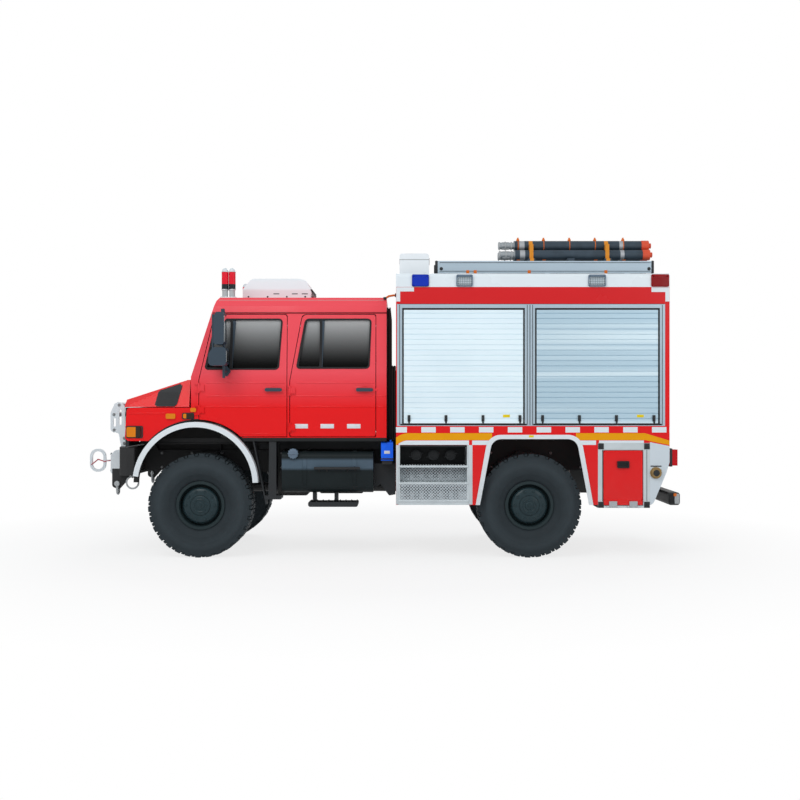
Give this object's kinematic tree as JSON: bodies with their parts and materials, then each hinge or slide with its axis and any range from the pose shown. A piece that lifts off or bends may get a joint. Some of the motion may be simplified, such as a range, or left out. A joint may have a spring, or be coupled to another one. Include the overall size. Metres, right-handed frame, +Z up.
{
  "type": "foam fire truck",
  "caption": "Off-road crew-cab foam fire truck with steered portal axles, opening doors, bonnet and lockers, roller-shutter equipment body, roof ladder and front winch.",
  "frame": {"origin": "on the ground below the middle of the truck", "axes": "+X rearwards from nose to tail, +Y to the passenger side, +Z up"},
  "size_m": [7.04, 2.83, 3.6483],
  "materials": {
    "steel_black": "satin black paint",
    "cast": "painted casting",
    "tyre": "matt rubber",
    "rim": "dark blue-grey paint",
    "red": "gloss red paint",
    "white": "gloss white paint",
    "white_plastic": "white plastic",
    "black_plastic": "matt black plastic",
    "glass": "tinted glass",
    "seat": "dark cloth",
    "alu": "satin anodised",
    "blue_plastic": "blue plastic",
    "lens_clear": "clear lens",
    "lens_red": "red lens",
    "lens_amber": "amber lens",
    "lens_blue": "blue lens"
  },
  "bodies": {
    "chassis": {"chassis_frame": "steel_black", "powertrain": "cast", "front_axle": "cast", "rear_axle": "cast", "coil_springs": "steel_black", "front_bumper": "steel_black", "winch": "white", "bull_bar": "white", "grille": "black_plastic", "front_fenders": "red", "arch_trims": "white", "cab_tub": "red", "cab_sides": "red", "cab_roof": "red", "cab_glass": "glass", "dashboard": "black_plastic", "seats": "seat", "side_tanks": "steel_black", "mudguards": "black_plastic", "blue_canister": "blue_plastic", "roof_units": "white_plastic", "body_shell": "red", "body_roof": "white", "body_posts": "alu", "shutters": "alu", "side_skirts": "red", "side_lockers": "alu", "roof_ladder": "alu", "roof_tubes": "black_plastic", "clear_lamps": "lens_clear", "red_lamps": "lens_red", "amber_lamps": "lens_amber", "blue_lamps": "lens_blue", "underrun_bar": "steel_black", "tow_coupling": "steel_black"},
    "knuckle_left": {"knuckle_left": "cast"},
    "knuckle_right": {"knuckle_right": "cast"},
    "wheel_front_left": {"tyre_front_left": "tyre", "rim_front_left": "rim"},
    "door_front_left": {"door_front_left": "red", "glass_front_left": "glass", "fittings_front_left": "black_plastic"},
    "wheel_front_right": {"tyre_front_right": "tyre", "rim_front_right": "rim"},
    "door_front_right": {"door_front_right": "red", "glass_front_right": "glass", "fittings_front_right": "black_plastic"},
    "wheel_rear_left": {"tyre_rear_left": "tyre", "rim_rear_left": "rim"},
    "door_rear_left": {"door_rear_left": "red", "glass_rear_left": "glass", "fittings_rear_left": "black_plastic"},
    "wheel_rear_right": {"tyre_rear_right": "tyre", "rim_rear_right": "rim"},
    "door_rear_right": {"door_rear_right": "red", "glass_rear_right": "glass", "fittings_rear_right": "black_plastic"},
    "bonnet": {"bonnet": "red"},
    "flap_left": {"flap_left": "red"},
    "flap_right": {"flap_right": "red"}
  },
  "joints": [
    {"name": "steer_left", "type": "hinge", "parent": "chassis", "child": "knuckle_left", "pos_m": [-1.96, -0.7005, 0.72], "axis": [0, 0, 1], "range_deg": [-32, 32]},
    {"name": "steer_right", "type": "hinge", "parent": "chassis", "child": "knuckle_right", "pos_m": [-1.96, 0.7005, 0.72], "axis": [0, 0, 1], "range_deg": [-32, 32]},
    {"name": "wheel_front_left_spin", "type": "hinge", "parent": "knuckle_left", "child": "wheel_front_left", "pos_m": [-1.96, -0.9625, 0.59], "axis": [0, 1, 0], "continuous": true},
    {"name": "wheel_rear_left_spin", "type": "hinge", "parent": "chassis", "child": "wheel_rear_left", "pos_m": [1.79, -0.9625, 0.59], "axis": [0, 1, 0], "continuous": true},
    {"name": "wheel_front_right_spin", "type": "hinge", "parent": "knuckle_right", "child": "wheel_front_right", "pos_m": [-1.96, 0.9625, 0.59], "axis": [0, 1, 0], "continuous": true},
    {"name": "wheel_rear_right_spin", "type": "hinge", "parent": "chassis", "child": "wheel_rear_right", "pos_m": [1.79, 0.9625, 0.59], "axis": [0, 1, 0], "continuous": true},
    {"name": "door_front_left_hinge", "type": "hinge", "parent": "chassis", "child": "door_front_left", "pos_m": [-1.979, -1.091, 1.8], "axis": [0, 0, -1], "range_deg": [0, 70]},
    {"name": "door_rear_left_hinge", "type": "hinge", "parent": "chassis", "child": "door_rear_left", "pos_m": [-0.94, -1.091, 1.8], "axis": [0, 0, -1], "range_deg": [0, 70]},
    {"name": "door_front_right_hinge", "type": "hinge", "parent": "chassis", "child": "door_front_right", "pos_m": [-1.979, 1.091, 1.8], "axis": [0, 0, 1], "range_deg": [0, 70]},
    {"name": "door_rear_right_hinge", "type": "hinge", "parent": "chassis", "child": "door_rear_right", "pos_m": [-0.94, 1.091, 1.8], "axis": [0, 0, 1], "range_deg": [0, 70]},
    {"name": "bonnet_hinge", "type": "hinge", "parent": "chassis", "child": "bonnet", "pos_m": [-2.093, 0, 2.06], "axis": [0, 1, 0], "range_deg": [0, 60]},
    {"name": "flap_left_hinge", "type": "hinge", "parent": "chassis", "child": "flap_left", "pos_m": [2.835, -1.239, 0.592], "axis": [1, 0, 0], "range_deg": [0, 90]},
    {"name": "flap_right_hinge", "type": "hinge", "parent": "chassis", "child": "flap_right", "pos_m": [2.835, 1.239, 0.592], "axis": [-1, 0, 0], "range_deg": [0, 90]}
  ],
  "couplings": [
    {"joint": "steer_right", "follows": "steer_left", "ratio": 1}
  ]
}
